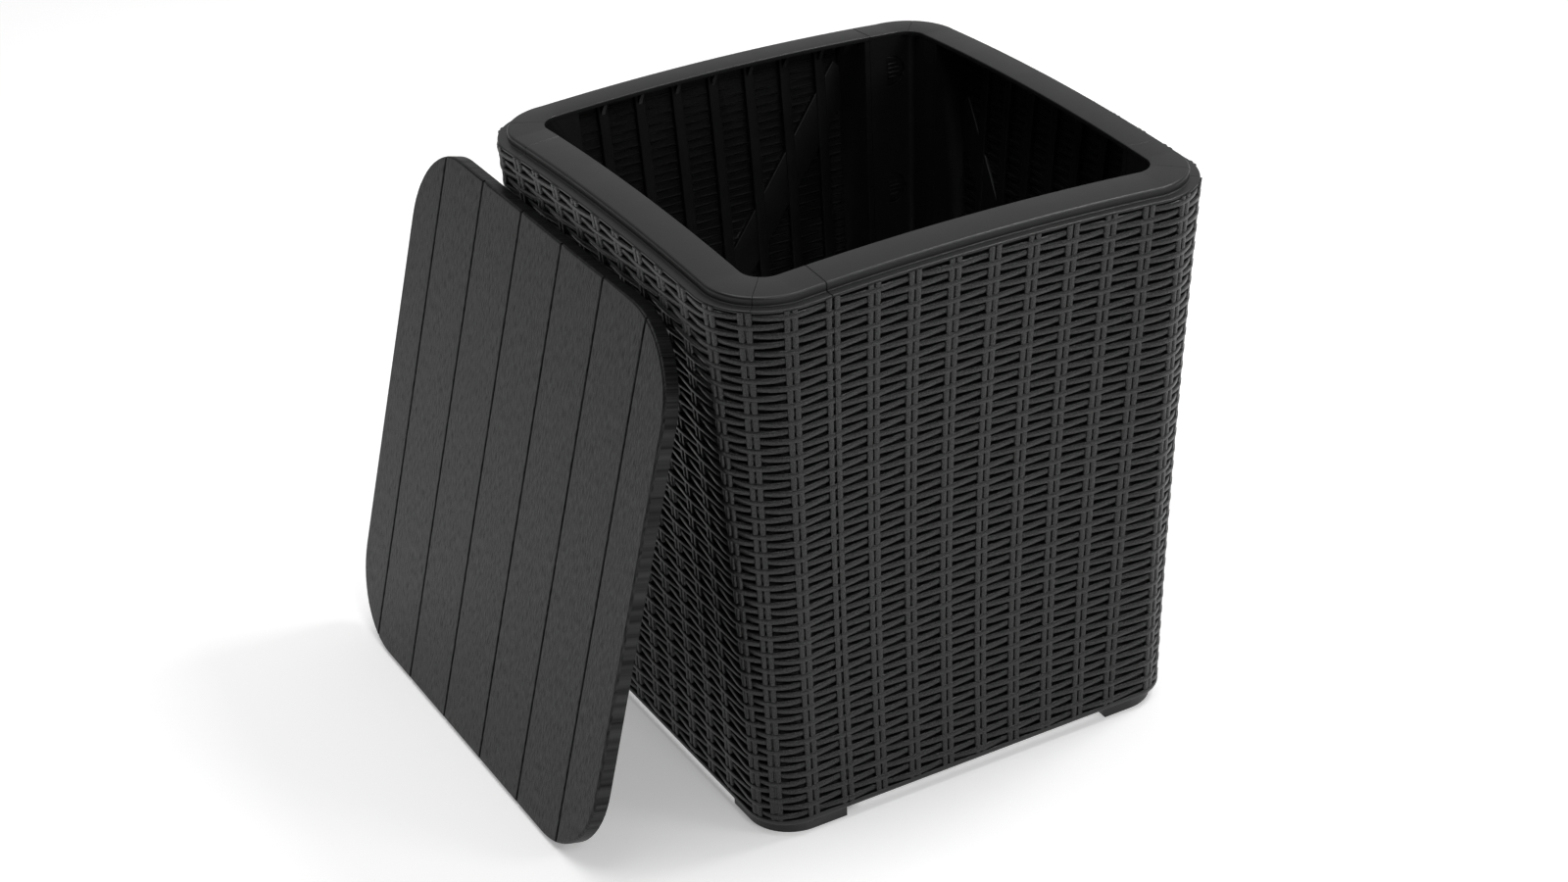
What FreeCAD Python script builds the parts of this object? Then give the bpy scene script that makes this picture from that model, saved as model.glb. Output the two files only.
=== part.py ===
import FreeCAD, Part
import math
import os
from FreeCAD import Vector

# Cover table for a 20 lb gas tank: four L-shaped moulded wall panels snap
# together into an open box, and a planked lid leans against its -X wall.
# Millimetres, +Z up, origin on the floor under the centre of the box.
# The front wall faces -Y. Every wall is the same, turned by a quarter turn.

# Outline of the box, as half widths and heights at the corners
LEDGE_HALF = 225.0
BASE_HALF = 201.0
FOOT_HALF = 196.3
RING_OUT = 215.0
RING_IN = 183.5
RING_Z = 497.0
RING_FALL = 1.7         # its top falls this much towards the outside
LEDGE_Z = 488.0
BASE_Z = 11.6
CORNER = 164.0          # all upper corner arcs share this centre
FOOT_CORNER = 158.0     # the feet turn on a rounder one
ARCH = 5.0              # the rim rises this much in the middle of a side
WAIST_MID = 8.5         # the wall draws in this much at half height, mid side
WAIST_CORNER = 2.5

# Wall section
WALL = 12.0             # from the weave's outer face to the inner bars
WEAVE_DEEP = 4.5        # backing sheet lies this far behind the outer face
WINDOW_DEEP = 4.0       # and this far behind the inner bars
STAKE_SINK = 0.4        # the stakes lie this far behind the outer face
RAIL = 4.5              # plain rail along the bottom edge
LEDGE_THICK = 2.5
LEDGE_IN = 1.7          # the ledge's edge lies this far behind the weave's outer face
COURSES = 3             # the drawn-in wall is built from this many straight courses
RING_THICK = 4.0
RING_ROUND = 2.5
LIP_ROUND = 1.0
LEDGE_ROUND = 1.0

# Weave stakes stand in pairs, eleven to a wall and one on each corner
PITCH_TOP = 35.53
PITCH_BASE = 32.29
MIDDLE = 5.925          # the middle of a wall, counted in pairs
SEAM_PAIR = 2
STEP_PAIR = 10
PAIR_WIDE = 10.0
PAIR_SPLIT = 0.6        # half the groove between the two stakes of a pair
CORNER_PAIR_ANGLES = (16.8, 46.5)
BAR_WIDE = 9.0

# Corner column behind each return leg
SKIN_THICK = 3.0
SKIN_ROUND = 5.0
COLUMN_FACETS = 4       # flats round the hidden inner side of the corner's weave
SEAM_GAP = 0.2
TONGUE_THICK = 2.6
TONGUE_TALL = 40.0
TONGUE_CLEAR = 0.4
LATCH_HEIGHTS = (132.0, 242.0, 352.0, 462.0)
LATCH_TALL = 26.0
LATCH_WIDE = 18.5
LATCH_FROM_SEAM = 12.0
LATCH_SPREAD = 4.0      # the top latch sits this much further from the seam
LATCH_CLEAR = 0.5

# Braces and gussets on the inner face
BRACE_WIDE = 29.0
BRACE_SINK = 1.0
BRACE_ENDS = (((-129.0, 462.0), (146.0, 110.0)), ((146.0, 433.0), (-129.0, 60.0)))
GUSSET_THICK = 3.0
GUSSET_DROP = 16.0

# Lid
LID_SIZE = 466.5
LID_THICK = 12.8
LID_CORNER = 75.0
LID_SKIN = 3.2
LID_ROUND = 2.0
PLANK = 73.45
PLANKS = 7
GROOVE_WIDE = 3.4
GROOVE_DEEP = 2.2
LOCATOR_HALF = 181.0
LOCATOR_CORNER = 16.0
LOCATOR_DROP = 8.0
RIB_THICK = 2.6
RIB_GAP = 110.0
RIBS_EACH_SIDE = 1
LEAN = 14.3             # degrees from upright
LID_SIDE = 75.0         # the leaning lid stands this far towards +Y
LID_GAP = 0.4           # between the lid's upper back edge and the weave


def wall_rise(z):
    """0 at the wall's bottom edge and 1 at the ledge."""
    return (z - BASE_Z) / (LEDGE_Z - BASE_Z)


def waist(z, along=CORNER):
    """How far the wall draws in at height z and at a place along the side."""
    rise = wall_rise(z)
    across = max(0.0, 1.0 - (along / CORNER) ** 2)
    return 4.0 * rise * (1.0 - rise) * (WAIST_CORNER + (WAIST_MID - WAIST_CORNER) * across)


def wall_half(z, along=CORNER):
    """Half width of the box over the weave."""
    return BASE_HALF + (LEDGE_HALF - BASE_HALF) * wall_rise(z) - waist(z, along)


def arch(along):
    """How far the rim rises at a place along the side."""
    return ARCH * max(0.0, 1.0 - (along / CORNER) ** 2)


def levels(along=CORNER, overlap=0.0):
    """Heights between the wall's courses, from the bottom rail to the ledge's underside."""
    low = BASE_Z + RAIL
    high = LEDGE_Z - LEDGE_THICK
    step = (high - low) / COURSES
    between = [low + step * i for i in range(1, COURSES)]
    return [low - overlap] + between + [high + arch(along) + overlap]


def pitch(z):
    return PITCH_BASE + (PITCH_TOP - PITCH_BASE) * wall_rise(z)


def pair_place(pair, z):
    """Place of a stake pair along the front wall."""
    return (pair - MIDDLE) * pitch(z)


def seam_place(z):
    return pair_place(SEAM_PAIR, z)


def closed_wire(points, arcs):
    """Wire through the points. An edge listed in arcs bends through its own mid point."""
    edges = []
    count = len(points)
    for i in range(count):
        start, end = points[i], points[(i + 1) % count]
        if i in arcs:
            edges.append(Part.Arc(start, arcs[i], end).toShape())
        else:
            edges.append(Part.LineSegment(start, end).toShape())
    return Part.Wire(edges)


def prism(points, direction):
    """Solid swept from a flat polygon."""
    return Part.Face(Part.makePolygon(points + [points[0]])).extrude(direction)


def wall_section(along, filled=False):
    """Section of the wall shell, ring and ledge, across the front wall.
    Filled, it reaches far in between the rail and the ledge."""
    ring_z = RING_Z + arch(along)
    edge_z = ring_z - RING_FALL
    ledge_z = LEDGE_Z + arch(along)
    heights = levels(along)
    rail_z, top_z = heights[0], heights[-1]

    def at(half, z):
        return Vector(along, -half, z)

    def face(z, depth):
        return at(wall_half(min(z, LEDGE_Z), along) - depth, z)

    turn = RING_ROUND * (1.0 - math.sqrt(0.5))
    points = [
        at(RING_IN, ring_z - RING_THICK),
        at(RING_IN, ring_z - LIP_ROUND),
        at(RING_IN + LIP_ROUND, ring_z),
        at(RING_OUT - RING_ROUND, edge_z),
        at(RING_OUT - turn, edge_z - turn),
        at(RING_OUT, edge_z - RING_ROUND),
        at(RING_OUT - 0.5, ledge_z),
        at(LEDGE_HALF - LEDGE_IN - LEDGE_ROUND, ledge_z),
        at(LEDGE_HALF - LEDGE_IN, ledge_z - LEDGE_ROUND),
        face(top_z, LEDGE_IN),
    ]
    points += [face(z, WEAVE_DEEP) for z in reversed(heights)]
    points += [
        face(rail_z, 0.0),
        at(BASE_HALF, BASE_Z),
        at(BASE_HALF - WALL, BASE_Z),
        face(rail_z, WALL),
    ]
    if filled:
        points += [at(CORNER + 10.0, rail_z), at(CORNER + 10.0, top_z)]
    else:
        points += [face(z, WALL - WINDOW_DEEP) for z in heights] + [face(top_z, WALL)]
    points += [
        at(RING_OUT - RING_THICK, top_z),
        at(RING_OUT - RING_THICK, edge_z - RING_THICK),
    ]
    return closed_wire(points, {})


def straight_wall():
    """The whole straight stretch of a wall, its rim arched and its waist drawn in."""
    sections = [wall_section(a) for a in (-CORNER, 0.0, CORNER)]
    return Part.makeLoft(sections, True, False)


def corner_wall():
    """The wall turned a quarter round its right-hand corner. Its hidden side is faceted."""
    face = Part.Face(wall_section(CORNER, True))
    body = face.revolve(Vector(CORNER, -CORNER, 0), Vector(0, 0, 1), 90)
    wires = []
    for z in levels():
        inner = wall_half(z) - WALL + WINDOW_DEEP - CORNER
        points = [Vector(CORNER - 5.0, 5.0 - CORNER, z)]
        for i in range(-1, COLUMN_FACETS + 2):
            angle = math.radians(90.0 * i / COLUMN_FACETS)
            points.append(Vector(CORNER + inner * math.sin(angle), -CORNER - inner * math.cos(angle), z))
        wires.append(Part.makePolygon(points + points[:1]))
    return body.cut(Part.makeLoft(wires, True, True))


def seam_block(shift):
    """Half-space on the +X side of the front wall's seam, moved by shift."""
    low, high = -50.0, 600.0
    far = 1000.0
    points = [
        Vector(seam_place(low) + shift, -far, low),
        Vector(far, -far, low),
        Vector(far, -far, high),
        Vector(seam_place(high) + shift, -far, high),
    ]
    return prism(points, Vector(0, 2 * far, 0))


def turned(shape, quarters):
    copy = shape.copy()
    copy.rotate(Vector(0, 0, 0), Vector(0, 0, 1), 90.0 * quarters)
    return copy


def on_wall(along, z):
    """Point on the outer face of the front wall or one of its corners, and the way out.
    Past the straight stretch, along is measured round the corner."""
    if abs(along) <= CORNER:
        return Vector(along, -wall_half(z, along), z), Vector(0, -1, 0)
    radius = wall_half(z) - CORNER
    angle = math.copysign((abs(along) - CORNER) / radius, along)
    out = Vector(math.sin(angle), -math.cos(angle), 0)
    return Vector(math.copysign(CORNER, along), -CORNER, z) + out * radius, out


def upright_rib(place, wide, sink, deep, shift=0.0):
    """Upright bar between the bottom rail and the ledge that follows the wall's waist.
    place gives where it stands at a height, sink and deep are its faces' depths."""
    wires = []
    for z in levels(place(LEDGE_Z), 1.0):
        point, out = on_wall(place(z), z)
        side = Vector(-out.y, out.x, 0)
        middle = point + side * shift
        corners = [
            middle + side * (wide / 2) - out * sink,
            middle - side * (wide / 2) - out * sink,
            middle - side * (wide / 2) - out * deep,
            middle + side * (wide / 2) - out * deep,
        ]
        wires.append(Part.makePolygon(corners + [corners[0]]))
    return Part.makeLoft(wires, True, True)


def stake_pair(place):
    return upright_rib(place, PAIR_WIDE, STAKE_SINK, WEAVE_DEEP + 1.0)


def seam_stake(side):
    """One stake of the pair that the seam runs between."""
    wide = PAIR_WIDE / 2 - PAIR_SPLIT
    shift = side * (PAIR_SPLIT + wide / 2)
    return upright_rib(seam_place, wide, STAKE_SINK, WEAVE_DEEP + 1.0, shift)


def stakes():
    """The stakes of this panel, each pair as one bar. The strands between them are left out."""
    long_side = [seam_stake(1)]
    for pair in range(SEAM_PAIR + 1, STEP_PAIR + 1):
        long_side.append(stake_pair(lambda z, pair=pair: pair_place(pair, z)))
    for degrees in CORNER_PAIR_ANGLES:
        angle = math.radians(degrees)
        long_side.append(stake_pair(lambda z, angle=angle: CORNER + angle * (wall_half(z) - CORNER)))
    short_side = [seam_stake(-1)]
    for pair in range(1, SEAM_PAIR):
        short_side.append(stake_pair(lambda z, pair=pair: pair_place(pair, z)))
    return long_side + [turned(stake, 1) for stake in short_side]


def inner_bars():
    """Flat bars behind the stake pairs, with a curved gusset under the ring on each."""
    shapes = []
    for pair in range(SEAM_PAIR + 1, STEP_PAIR):
        shapes.append(upright_rib(lambda z, pair=pair: pair_place(pair, z), BAR_WIDE,
                                  WALL - WINDOW_DEEP - 0.5, WALL))
        shapes.append(gusset(pair_place(pair, LEDGE_Z)))
    return shapes


def gusset(along):
    """Web with a hollowed edge between a bar and the ring's underside."""
    under = RING_Z + arch(along) - RING_THICK + 0.5
    ledge_under = LEDGE_Z + arch(along) - LEDGE_THICK + 1.0
    foot = ledge_under - GUSSET_DROP
    wall = LEDGE_HALF - WALL + 1.0
    neck = RING_OUT - RING_THICK + 1.0
    inner = RING_IN + 3.0
    outline = [(inner, under), (neck, under - RING_FALL), (neck, ledge_under), (wall, ledge_under),
               (wall, foot), (wall - 2.0, foot), (wall - 5.0, foot + 8.0),
               (wall - 13.0, under - 5.0), (inner, under - 2.0)]
    left = along - GUSSET_THICK / 2
    points = [Vector(left, -half, z) for half, z in outline]
    return prism(points, Vector(GUSSET_THICK, 0, 0))


def braces():
    """Two flat diagonal bands across the inner face of the wall."""
    sections = []
    for along in (-CORNER, 0.0, CORNER):
        heights = levels(CORNER, 1.0)
        near, far = [
            [Vector(along, depth - wall_half(z, along), z) for z in heights]
            for depth in (WALL - BRACE_SINK, WALL - WINDOW_DEEP - 0.5)
        ]
        sections.append(closed_wire(near + far[::-1], {}))
    layer = Part.makeLoft(sections, True, False)
    bands = []
    for start, end in BRACE_ENDS:
        a = Vector(start[0], 0, start[1])
        b = Vector(end[0], 0, end[1])
        way = (b - a).normalize()
        side = Vector(-way.z, 0, way.x) * (BRACE_WIDE / 2)
        band = prism([a + side, a - side, b - side, b + side], Vector(0, -300, 0))
        bands.append(layer.common(band).common(seam_block(2.0)))
    return bands


def skin_half(z):
    """Half width over the corner column's inner skin, which is flush with the ring."""
    rise = wall_rise(z)
    return RING_IN - (LEDGE_HALF - BASE_HALF) * (1.0 - rise)


def step_place(z):
    return pair_place(STEP_PAIR, z)


def column_skin():
    """Inner skin of the corner column, from the step on this wall to the return's seam."""
    wires = []
    for z in (0.0, RING_Z - RING_THICK + 1.0):
        half = min(skin_half(z), RING_IN)
        outer = half + SKIN_THICK
        start = step_place(z)
        end = seam_place(z) - SEAM_GAP
        r_in = SKIN_ROUND
        bend = math.sqrt(0.5)
        points = [
            Vector(start, -half, z),
            Vector(half - r_in, -half, z),
            Vector(half, -half + r_in, z),
            Vector(half, end, z),
            Vector(outer, end, z),
            Vector(outer, -half + r_in, z),
            Vector(half - r_in, -outer, z),
            Vector(start, -outer, z),
        ]
        middle = Vector(half - r_in + bend * r_in, -half + r_in - bend * r_in, z)
        wires.append(closed_wire(points, {1: middle}))
    return Part.makeLoft(wires, True, True)


def above_ledge():
    """Space over the ledge, outside the ring."""
    return Part.makeBox(1000.0, 500.0, 100.0, Vector(-500.0, 2.0 - RING_OUT - 500.0, LEDGE_Z))


def step_wall():
    """Side of the corner column, between the wall and the inner skin."""
    wires = []
    for z in (0.0, RING_Z - RING_THICK + 1.0):
        x = step_place(z)
        far = max(wall_half(min(z, LEDGE_Z)), BASE_HALF) - WALL + WINDOW_DEEP - 1.0
        near = min(skin_half(z), RING_IN)
        corners = [Vector(x, -near, z), Vector(x + SKIN_THICK, -near, z),
                   Vector(x + SKIN_THICK, -far, z), Vector(x, -far, z)]
        wires.append(Part.makePolygon(corners + [corners[0]]))
    return Part.makeLoft(wires, True, True).cut(above_ledge())


def foot():
    """Low band under the corner column that stands on the floor, set in from the weave."""
    thick = 5.0
    top = BASE_Z + 1.0
    radius = FOOT_HALF - FOOT_CORNER
    start = step_place(0.0)
    end = seam_place(0.0) - SEAM_GAP
    outer, inner = FOOT_HALF, FOOT_HALF - thick
    bend = math.sqrt(0.5)
    middle = Vector(FOOT_CORNER, -FOOT_CORNER, 0)
    points = [
        Vector(start, -outer, 0),
        Vector(FOOT_CORNER, -outer, 0),
        Vector(outer, -FOOT_CORNER, 0),
        Vector(outer, end, 0),
        Vector(inner, end, 0),
        Vector(inner, -FOOT_CORNER, 0),
        Vector(FOOT_CORNER, -inner, 0),
        Vector(start, -inner, 0),
    ]
    diagonal = Vector(bend, -bend, 0)
    wire = closed_wire(points, {1: middle + diagonal * radius})
    return Part.Face(wire).extrude(Vector(0, 0, top))


def latch_place(z):
    """Distance of a latch window's straight edge from the seam."""
    low, high = LATCH_HEIGHTS[0], LATCH_HEIGHTS[-1]
    return LATCH_FROM_SEAM + LATCH_SPREAD * (z - low) / (high - low)


def latch_plug(z, shrink, near, far):
    """Half-moon plug through the front wall's skin plane, straight edge towards the seam.
    near and far are its end distances outside the skin's inner face."""
    tall = LATCH_TALL - 2 * shrink
    wide = LATCH_WIDE - 2 * shrink
    edge = seam_place(z) - latch_place(z) - shrink
    y = -skin_half(z) - near
    points = [Vector(edge, y, z - tall / 2), Vector(edge, y, z + tall / 2)]
    face = Part.Face(closed_wire(points, {1: Vector(edge - wide, y, z)}))
    return face.extrude(Vector(0, -(far - near), 0))


def seam_end():
    """Thickened end of the long wall, flared in to be flush with the neighbour's skin."""
    shapes = []
    post, flare = [], []
    for z in (BASE_Z, RING_Z - RING_THICK + 1.0):
        half = min(skin_half(z), RING_IN)
        wall = wall_half(min(z, LEDGE_Z)) - WALL + WINDOW_DEEP - 1.0
        x = seam_place(z) + SEAM_GAP
        back = half + SKIN_THICK + TONGUE_CLEAR + TONGUE_THICK
        a = [(x, half), (x + 4.0, half), (x + 4.0, back), (x, back)]
        b = [(x + 2.5, half), (x + 5.5, half), (x + 16.5, wall), (x + 13.0, wall)]
        for wires, corners in ((post, a), (flare, b)):
            wires.append(Part.makePolygon([Vector(u, -w, z) for u, w in corners + corners[:1]]))
    shapes.append(Part.makeLoft(post, True, True))
    shapes.append(Part.makeLoft(flare, True, True).cut(above_ledge()))
    for z in LATCH_HEIGHTS:
        shapes += tongue(z)
    return shapes


def tongue(z):
    """Snap tongue that slides behind the neighbour's skin, with its half-moon button."""
    wires = []
    reach = latch_place(z) + LATCH_WIDE + 4.0
    for level in (z - TONGUE_TALL / 2, z + TONGUE_TALL / 2):
        near = skin_half(level) + SKIN_THICK + TONGUE_CLEAR
        far = near + TONGUE_THICK
        x = seam_place(level)
        corners = [Vector(x + 2.0, -near, level), Vector(x - reach, -near, level),
                   Vector(x - reach, -far, level), Vector(x + 2.0, -far, level)]
        wires.append(Part.makePolygon(corners + [corners[0]]))
    return [Part.makeLoft(wires, True, True),
            latch_plug(z, LATCH_CLEAR, 1.4, SKIN_THICK + TONGUE_CLEAR + 1.0)]


def make_panel():
    """Front panel: front wall, right-hand corner and the return leg on the right wall."""
    wall = straight_wall()
    long_side = wall.common(seam_block(SEAM_GAP))
    short_side = turned(wall.cut(seam_block(-SEAM_GAP)), 1)
    body = long_side.fuse([corner_wall(), short_side])
    skin = column_skin()
    for z in LATCH_HEIGHTS:
        skin = skin.cut(turned(latch_plug(z, 0.0, -5.0, 12.0), 1))
    extra = stakes() + inner_bars() + braces() + [skin, step_wall(), foot()] + seam_end()
    body = body.fuse(extra)
    body = body.removeSplitter()
    print("panel", body.isValid(), len(body.Solids), round(body.Volume / 1000.0), "cm3")
    return body.Solids[0] if len(body.Solids) == 1 else body


def rounded_square(half, radius, z):
    flat = half - radius
    corners = ((flat, -flat, 0), (flat, flat, 90), (-flat, flat, 180), (-flat, -flat, 270))
    points, arcs = [], {}
    for i, (x, y, degrees) in enumerate(corners):
        a = math.radians(degrees - 90)
        start = Vector(x + radius * math.cos(a), y + radius * math.sin(a), z)
        end = Vector(x - radius * math.sin(a), y + radius * math.cos(a), z)
        points += [start, end]
        mid = math.radians(degrees - 45)
        arcs[2 * i] = Vector(x + radius * math.cos(mid), y + radius * math.sin(mid), z)
    return closed_wire(points, arcs)


def slab(half, radius, low, high):
    return Part.Face(rounded_square(half, radius, low)).extrude(Vector(0, 0, high - low))


def lid_flat():
    """Lid lying flat: planks up, centre of its underside's edge at the origin."""
    half = LID_SIZE / 2
    body = slab(half, LID_CORNER, 0.0, LID_THICK)
    top = [e for e in body.Edges if e.BoundBox.ZMin > LID_THICK - 0.01]
    body = body.makeChamfer(LID_ROUND, top)
    hollow = slab(half - LID_SKIN, LID_CORNER - LID_SKIN, -1.0, LID_THICK - LID_SKIN)
    body = body.cut(hollow)
    ribs = []
    inner = slab(half - 1.0, LID_CORNER - 1.0, LID_THICK - LID_SKIN - 9.0, LID_THICK - 1.0)
    for i in range(-RIBS_EACH_SIDE, RIBS_EACH_SIDE + 1):
        at = i * RIB_GAP
        ribs.append(Part.makeBox(RIB_THICK, LID_SIZE, 9.0,
                                 Vector(at - RIB_THICK / 2, -half, LID_THICK - LID_SKIN - 8.0)))
        ribs.append(Part.makeBox(LID_SIZE, RIB_THICK, 9.0,
                                 Vector(-half, at - RIB_THICK / 2, LID_THICK - LID_SKIN - 8.0)))
    ribs = [rib.common(inner) for rib in ribs]
    locator = slab(LOCATOR_HALF, LOCATOR_CORNER, -LOCATOR_DROP, LID_THICK - 1.0)
    inside = slab(LOCATOR_HALF - RIB_THICK, LOCATOR_CORNER - RIB_THICK, -LOCATOR_DROP - 1.0, LID_THICK)
    locator = locator.cut(inside)
    body = body.fuse(ribs + [locator])
    for i in range(1, PLANKS):
        x = (i - PLANKS / 2) * PLANK
        groove = prism([Vector(x - GROOVE_WIDE / 2, -half - 1, LID_THICK + 0.01),
                        Vector(x + GROOVE_WIDE / 2, -half - 1, LID_THICK + 0.01),
                        Vector(x, -half - 1, LID_THICK - GROOVE_DEEP)],
                       Vector(0, LID_SIZE + 2, 0))
        body = body.cut(groove)
    body = body.removeSplitter()
    print("lid", body.isValid(), len(body.Solids), round(body.Volume / 1000.0), "cm3")
    return body.Solids[0] if len(body.Solids) == 1 else body


def lean_lid(lid):
    """Stand the lid on its edge, planks facing out to -X, leaning on the left wall."""
    lean = math.radians(LEAN)
    lid.translate(Vector(0, LID_SIZE / 2, 0))
    up = Vector(math.sin(lean), 0, math.cos(lean))
    out = Vector(-math.cos(lean), 0, math.sin(lean))
    side = up.cross(out)
    rows = [(getattr(side, axis), getattr(up, axis), getattr(out, axis), 0) for axis in "xyz"]
    lid = lid.transformShape(FreeCAD.Matrix(*rows[0], *rows[1], *rows[2], 0, 0, 0, 1), True)
    lid.translate(Vector(0, LID_SIDE, -lid.BoundBox.ZMin))
    top = up * LID_SIZE
    height = top.z - lid.BoundBox.ZMin
    touch = -wall_half(height) - LID_GAP
    lid.translate(Vector(touch - top.x, 0, 0))
    return lid


def main():
    os.makedirs("parts", exist_ok=True)
    panel = make_panel()
    for quarters, name in enumerate(("front_panel", "right_panel", "back_panel", "left_panel")):
        turned(panel, quarters).exportStep("parts/" + name + ".step")
    lean_lid(lid_flat()).exportStep("parts/lid.step")


main()
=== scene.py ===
import math

import bmesh
import bpy
import numpy as np
from mathutils import Matrix, Vector


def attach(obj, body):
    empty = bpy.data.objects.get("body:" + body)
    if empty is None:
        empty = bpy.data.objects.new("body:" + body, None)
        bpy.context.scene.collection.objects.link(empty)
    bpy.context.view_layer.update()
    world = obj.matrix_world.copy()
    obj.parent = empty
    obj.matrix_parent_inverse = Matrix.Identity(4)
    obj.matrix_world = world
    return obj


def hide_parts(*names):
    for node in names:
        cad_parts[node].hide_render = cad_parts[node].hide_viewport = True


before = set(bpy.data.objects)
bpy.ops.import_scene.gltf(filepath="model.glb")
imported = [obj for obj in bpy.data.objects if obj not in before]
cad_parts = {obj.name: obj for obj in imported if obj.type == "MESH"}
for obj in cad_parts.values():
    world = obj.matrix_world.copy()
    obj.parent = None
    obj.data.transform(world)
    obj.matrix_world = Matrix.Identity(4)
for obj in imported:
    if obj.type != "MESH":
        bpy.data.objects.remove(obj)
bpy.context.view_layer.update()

# The cover table's panels, in millimetres, with the same sizes as the solids
LEDGE_HALF = 225.0        # half width of the wall at the ledge, and at the foot of the weave
BASE_HALF = 201.0
LEDGE_Z = 488.0
BASE_Z = 11.6             # the walls' lower edge, above the feet
CORNER = 164.0            # centre of the corner's arcs
ARCH = 5.0                # the rim rises this much in the middle of a side
WAIST_MID = 8.5           # and the wall draws in this much half way up, there and at the corner
WAIST_CORNER = 2.5
RING_OUT = 215.0
RING_IN = 183.5
RING_Z = 497.0
RING_FALL = 1.7           # the ring's top falls this much towards the outside
RING_THICK = 4.0
LEDGE_THICK = 2.5
LEDGE_EDGE = LEDGE_HALF - 1.7
RAIL_TALL = 4.5
RAIL_Z = BASE_Z + RAIL_TALL
PITCH_TOP = 35.53         # between stake pairs, at the ledge and at the foot
PITCH_BASE = 32.29
MIDDLE = 5.925            # the long wall's middle, counted in pairs
SEAM_PAIR = 2             # the pair that the panel shares with its neighbour
STEP_PAIR = 10            # last pair before the corner
CORNER_PAIR_ANGLES = (16.8, 46.5)
PAIRS_ROUND = 12          # gaps between stake pairs, once round a panel
SEAM_GAP = 0.2
LATCH_HEIGHTS = (132.0, 242.0, 352.0, 462.0)
LATCH_FROM_SEAM = 12.0    # a button's edge, at the lowest latch
LATCH_SPREAD = 4.0        # and this much further at the highest one
BRACE_HALF = 14.7
BRACE_ENDS = (((-129.0, 462.0), (146.0, 110.0)), ((146.0, 433.0), (-129.0, 60.0)))
BRACE_STOP = 2.3          # the braces end this far from the seam

# What of the solid's outer face lies under the detailed relief, and how far it gives way
NEAR = 0.1                # a point this near a level lies on it
FACE_SKIN = 0.2           # depths of the rail's face, of the plain stakes and of the whole skin
STAKE_SKIN = 1.0
OUTER_SKIN = 5.0
WEAVE_START = RAIL_Z - 1.2
RIM_START = 485.3         # over this level a point belongs to the rim
RING_BANDS = (0.8, 1.2, 0.9)  # its rounded edges lie this near its outer, inner and upper face
RAIL_SINK = 0.6
RAIL_DROP = 0.3
SHRINK = 0.4              # the solid's own rim stays this far inside the smooth one

# Woven relief, moulded as strands that pass over one stake pair and under the next
ROWS = 60
ROW_TOP = 482.06
ROW_STEP = 7.5865         # between the first two rows
ROW_GROWTH = 0.004172     # the rows spread slowly towards the bottom
ROW_RISE = 3.0            # mid side, the first row follows the arch this much
ROW_SAG = 3.4             # and the last one has lost this much of it
STRAND_TALL = 5.5
STRAND_CROWN = 0.8
STRAND_FACE = 1.5         # widens the flat face, 1 is a regular octagon's
STRAND_DIP = 2.1          # how far a strand sinks to go under a stake pair
STRAND_THICK = 2.6
STRAND_RUN = (-0.35, 0.36)  # it sinks evenly between these parts of the gap
STAKE_WIDE = 4.9
STAKE_GROOVE = 1.2
STAKE_DEPTH = 0.55
STAKE_ROUND = 0.8
STAKE_CORE = 3.4          # depth of the groove between the two stakes of a pair
STAKE_BACK = 6.6
STAKE_FOOT = 14.0
STAKE_TOP = 486.9
STAKE_PROUD = 0.45        # they come forward this much in their last millimetres
STAKE_PROUD_RUN = (14.0, 4.0)  # between these distances from the top
SEAM_SHIFT = 0.35         # the stakes beside a seam keep clear of it
UNIT = 34.0               # one pair pitch in the flat weave
SHEET_DEEP = 6.4          # the closed sheet behind the weave
STRAND_UV = (0.37, 0.4)   # a strand's own stretch of streaks, and how they run round its section
STAKE_UV = 0.61           # a stake pair's own stretch

# Rim
RIM_RADIUS = LEDGE_HALF - CORNER
RIM_UNDER = LEDGE_Z - LEDGE_THICK - 0.1
RING_ROUND = 2.5
LIP_ROUND = 1.0           # the ring's inner edge
FOOT_ROUND = 0.9          # hollow fillet between ring and ledge
LEDGE_ROUND = 1.2
NECK = 210.8              # inner side of the band between ring and ledge
PARTING = 0.35            # depth of the parting lines
PARTING_HALF = 0.45
PARTING_ANGLE = 51.0      # where the one in the corner stands

# Gussets, inner bars and ridges, as points (half width, height) or (along, depth)
GUSSET_HALF = 1.7
GUSSET_BACK = ((214.0, 486.0), (214.0, 469.0))
GUSSET_HOLLOW = ((212.4, 469.0), (208.4, 478.0), (200.4, 487.7), (185.8, 490.7))
GUSSET_TOP = ((185.8, 493.6), (212.0, 491.9), (212.0, 486.0))
BAR_HALF = 5.0
BAR_DEEP = 12.3
BAR_BACK = 7.4
BAR_ROUND = 1.0
BRACE_DEEP = 11.4
BRACE_ROUND = 0.8
GRIPS = ((-6.0, 8.0), (-2.0, 11.0), (2.0, 11.0), (6.0, 8.0))  # height on the button, length
GRIP_SECTION = ((1.6, -0.9), (0.7, -0.5), (0.5, 0.0), (0.7, 0.5), (1.6, 0.9))
GRIP_FROM_EDGE = 2.5
RIDGE_DEPTHS = (8.5, 10.3)  # the ridges on the strands' backs, at the over and under end
RIDGE_FOOT = 7.6
RIDGE_ENDS = (0.13, 0.87)  # parts of the gap between two pairs
RIDGE_APART = 2.1
RIDGE_TALL = 0.7

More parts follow.
